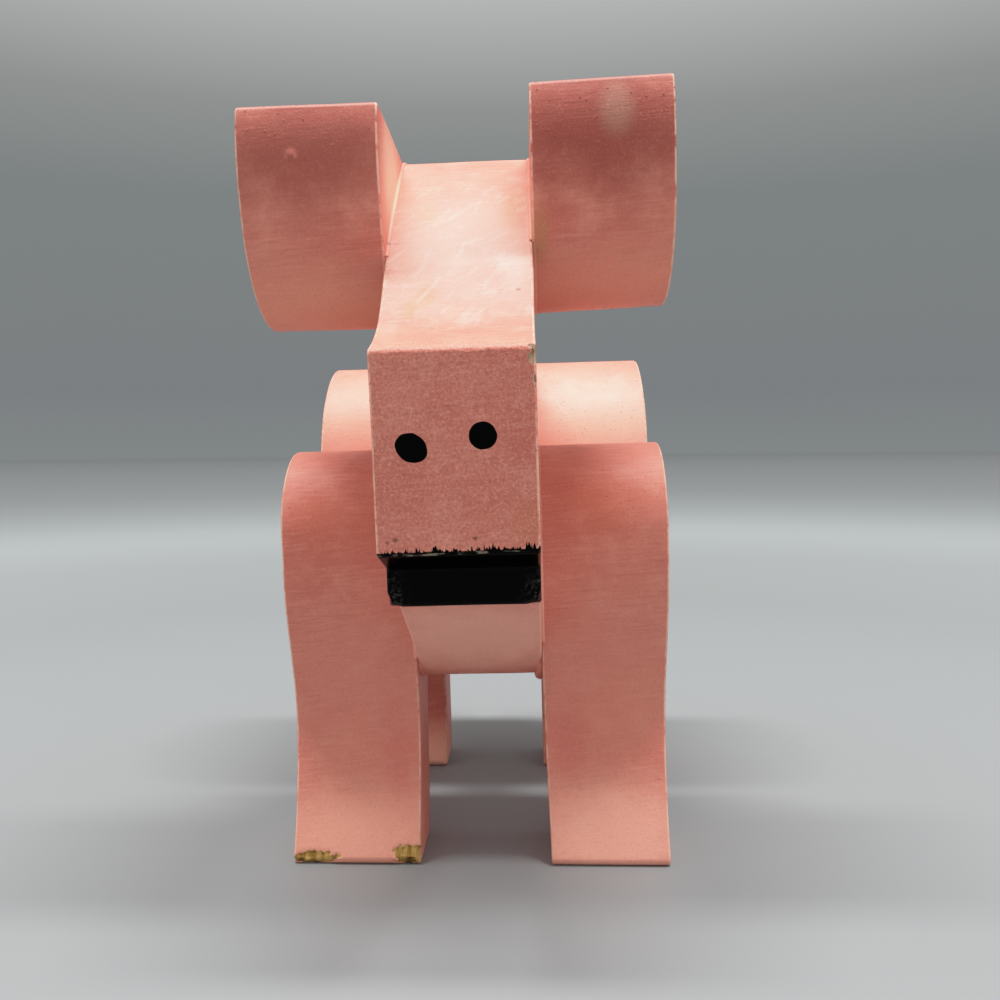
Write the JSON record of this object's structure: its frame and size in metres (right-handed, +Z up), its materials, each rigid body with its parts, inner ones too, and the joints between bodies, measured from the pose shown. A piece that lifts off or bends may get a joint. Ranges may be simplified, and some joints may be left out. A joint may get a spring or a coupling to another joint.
{
  "type": "pig figurine",
  "caption": "Standing pig ornament sawn from flat board: a side-profile head and body with block ears and round-topped legs glued on, painted pink with a black mouth and nostrils.",
  "frame": {"origin": "on the floor, under the middle of the object's bounding box", "axes": "+Z up, the snout faces -Y, and +X is the animal's own left side"},
  "size_m": [0.059, 0.1048, 0.1096],
  "materials": {
    "pink_paint": "softwood under hand-brushed satin pink paint, worn at edges and corners; the mouth and the two nostrils are glossy black paint",
    "bare_dowel": "plain hardwood dowel, unpainted, hidden inside"
  },
  "bodies": {
    "root": {"head_and_body": "pink_paint", "left_ear": "pink_paint", "right_ear": "pink_paint", "left_front_leg": "pink_paint", "right_front_leg": "pink_paint", "left_rear_leg": "pink_paint", "right_rear_leg": "pink_paint", "ear_dowel": "bare_dowel", "front_leg_dowel": "bare_dowel", "rear_leg_dowel": "bare_dowel"}
  },
  "joints": []
}
